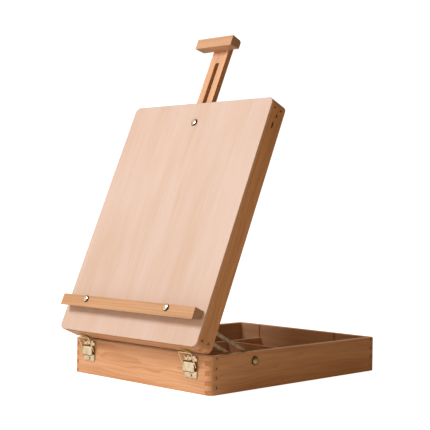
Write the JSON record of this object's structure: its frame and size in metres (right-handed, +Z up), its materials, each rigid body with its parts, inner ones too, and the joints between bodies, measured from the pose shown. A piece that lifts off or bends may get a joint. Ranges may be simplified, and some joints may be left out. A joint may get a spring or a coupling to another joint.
{
  "type": "tabletop sketch box easel",
  "caption": "Wooden tray box whose tilting lid is a drawing board, with a canvas ledge, a sliding slotted mast, side stays and draw latches.",
  "frame": {"origin": "centre of the tray's underside, on the surface it stands on", "axes": "+Z up, +Y from the canvas ledge side to the back of the tray, +X to the right as seen by the painter; the lid is drawn open as in use"},
  "size_m": [0.3378, 0.4619, 0.5845],
  "materials": {
    "beech_boards": "satin lacquered solid beech, finger-jointed",
    "beech_mast": "satin lacquered solid beech",
    "beech_ply_board": "pale satin beech plywood",
    "beech_ply_inside": "matt plywood",
    "brass_hardware": "polished brass plate",
    "nickel_domes": "polished domed heads",
    "steel_stay": "plain flat steel bar"
  },
  "bodies": {
    "tray": {"base_front_board": "beech_boards", "base_back_board": "beech_boards", "base_left_board": "beech_boards", "base_right_board": "beech_boards", "base_bottom_panel": "beech_ply_inside", "long_divider": "beech_ply_inside", "cross_divider": "beech_ply_inside", "rear_divider": "beech_ply_inside", "stay_clamp_bolt_left": "brass_hardware", "stay_washer_left": "brass_hardware", "latch_plate_left": "brass_hardware", "latch_pin_left": "brass_hardware", "latch_low_screw_left": "brass_hardware", "latch_top_screw_left": "brass_hardware", "stay_clamp_bolt_right": "brass_hardware", "stay_washer_right": "brass_hardware", "latch_plate_right": "brass_hardware", "latch_pin_right": "brass_hardware", "latch_low_screw_right": "brass_hardware", "latch_top_screw_right": "brass_hardware"},
    "lid": {"lid_bottom_rail": "beech_boards", "lid_top_rail": "beech_boards", "lid_left_rail": "beech_boards", "lid_right_rail": "beech_boards", "drawing_board": "beech_ply_board", "mast_guide_left": "beech_mast", "mast_guide_right": "beech_mast", "mast_clamp_bolt": "nickel_domes", "mast_clamp_washer": "brass_hardware", "canvas_ledge": "beech_mast", "ledge_bolt_left": "nickel_domes", "ledge_nut_left": "brass_hardware", "stay_screw_left": "brass_hardware", "latch_catch_left": "brass_hardware", "latch_catch_screw_left": "brass_hardware", "ledge_bolt_right": "nickel_domes", "ledge_nut_right": "brass_hardware", "stay_screw_right": "brass_hardware", "latch_catch_right": "brass_hardware", "latch_catch_screw_right": "brass_hardware"},
    "mast": {"mast": "beech_mast", "mast_head": "beech_mast", "head_screw_left": "brass_hardware", "head_screw_right": "brass_hardware"},
    "mast_wing_nut": {"mast_wing_nut": "brass_hardware"},
    "stay_left": {"stay_left": "steel_stay"},
    "stay_wing_nut_left": {"stay_wing_nut_left": "brass_hardware"},
    "latch_lever_left": {"latch_lever_left": "brass_hardware"},
    "latch_bail_left": {"latch_bail_left": "brass_hardware"},
    "stay_right": {"stay_right": "steel_stay"},
    "stay_wing_nut_right": {"stay_wing_nut_right": "brass_hardware"},
    "latch_lever_right": {"latch_lever_right": "brass_hardware"},
    "latch_bail_right": {"latch_bail_right": "brass_hardware"}
  },
  "joints": [
    {"name": "lid_tilt", "type": "hinge", "parent": "tray", "child": "lid", "pos_m": [0, -0.21495, 0.0611], "axis": [1, 0, 0], "range_deg": [-66.65, 2]},
    {"name": "mast_slide", "type": "slide", "parent": "lid", "child": "mast", "axis": [0, 0.3963, 0.9181], "range_m": [-0.1, 0.11]},
    {"name": "mast_wing_nut_spin", "type": "hinge", "parent": "lid", "child": "mast_wing_nut", "pos_m": [0, -0.07556, 0.42512], "axis": [0, -0.9181, 0.3963], "continuous": true},
    {"name": "stay_left_swing", "type": "hinge", "parent": "lid", "child": "stay_left", "pos_m": [-0.1515, -0.21155, 0.09498], "axis": [1, 0, 0], "range_deg": [-2.2, 71.8]},
    {"name": "stay_wing_nut_left_spin", "type": "hinge", "parent": "tray", "child": "stay_wing_nut_left", "pos_m": [-0.146, -0.1131, 0.0459], "axis": [-1, 0, 0], "continuous": true},
    {"name": "latch_lever_left_swing", "type": "hinge", "parent": "tray", "child": "latch_lever_left", "pos_m": [-0.123, -0.2167, 0.047], "axis": [-1, 0, 0], "range_deg": [0, 100]},
    {"name": "latch_bail_left_swing", "type": "hinge", "parent": "latch_lever_left", "child": "latch_bail_left", "pos_m": [-0.123, -0.2161, 0.0405], "axis": [1, 0, 0], "range_deg": [0, 141]},
    {"name": "stay_right_swing", "type": "hinge", "parent": "lid", "child": "stay_right", "pos_m": [0.1515, -0.21155, 0.09498], "axis": [1, 0, 0], "range_deg": [-2.2, 71.8]},
    {"name": "stay_wing_nut_right_spin", "type": "hinge", "parent": "tray", "child": "stay_wing_nut_right", "pos_m": [0.146, -0.1131, 0.0459], "axis": [1, 0, 0], "continuous": true},
    {"name": "latch_lever_right_swing", "type": "hinge", "parent": "tray", "child": "latch_lever_right", "pos_m": [0.123, -0.2167, 0.047], "axis": [-1, 0, 0], "range_deg": [0, 100]},
    {"name": "latch_bail_right_swing", "type": "hinge", "parent": "latch_lever_right", "child": "latch_bail_right", "pos_m": [0.123, -0.2161, 0.0405], "axis": [1, 0, 0], "range_deg": [0, 141]}
  ],
  "couplings": [
    {"joint": "stay_left_swing", "follows": "lid_tilt", "ratio": -1.075},
    {"joint": "latch_bail_left_swing", "follows": "latch_lever_left_swing", "ratio": 1.4},
    {"joint": "stay_right_swing", "follows": "lid_tilt", "ratio": -1.075},
    {"joint": "latch_bail_right_swing", "follows": "latch_lever_right_swing", "ratio": 1.4}
  ]
}
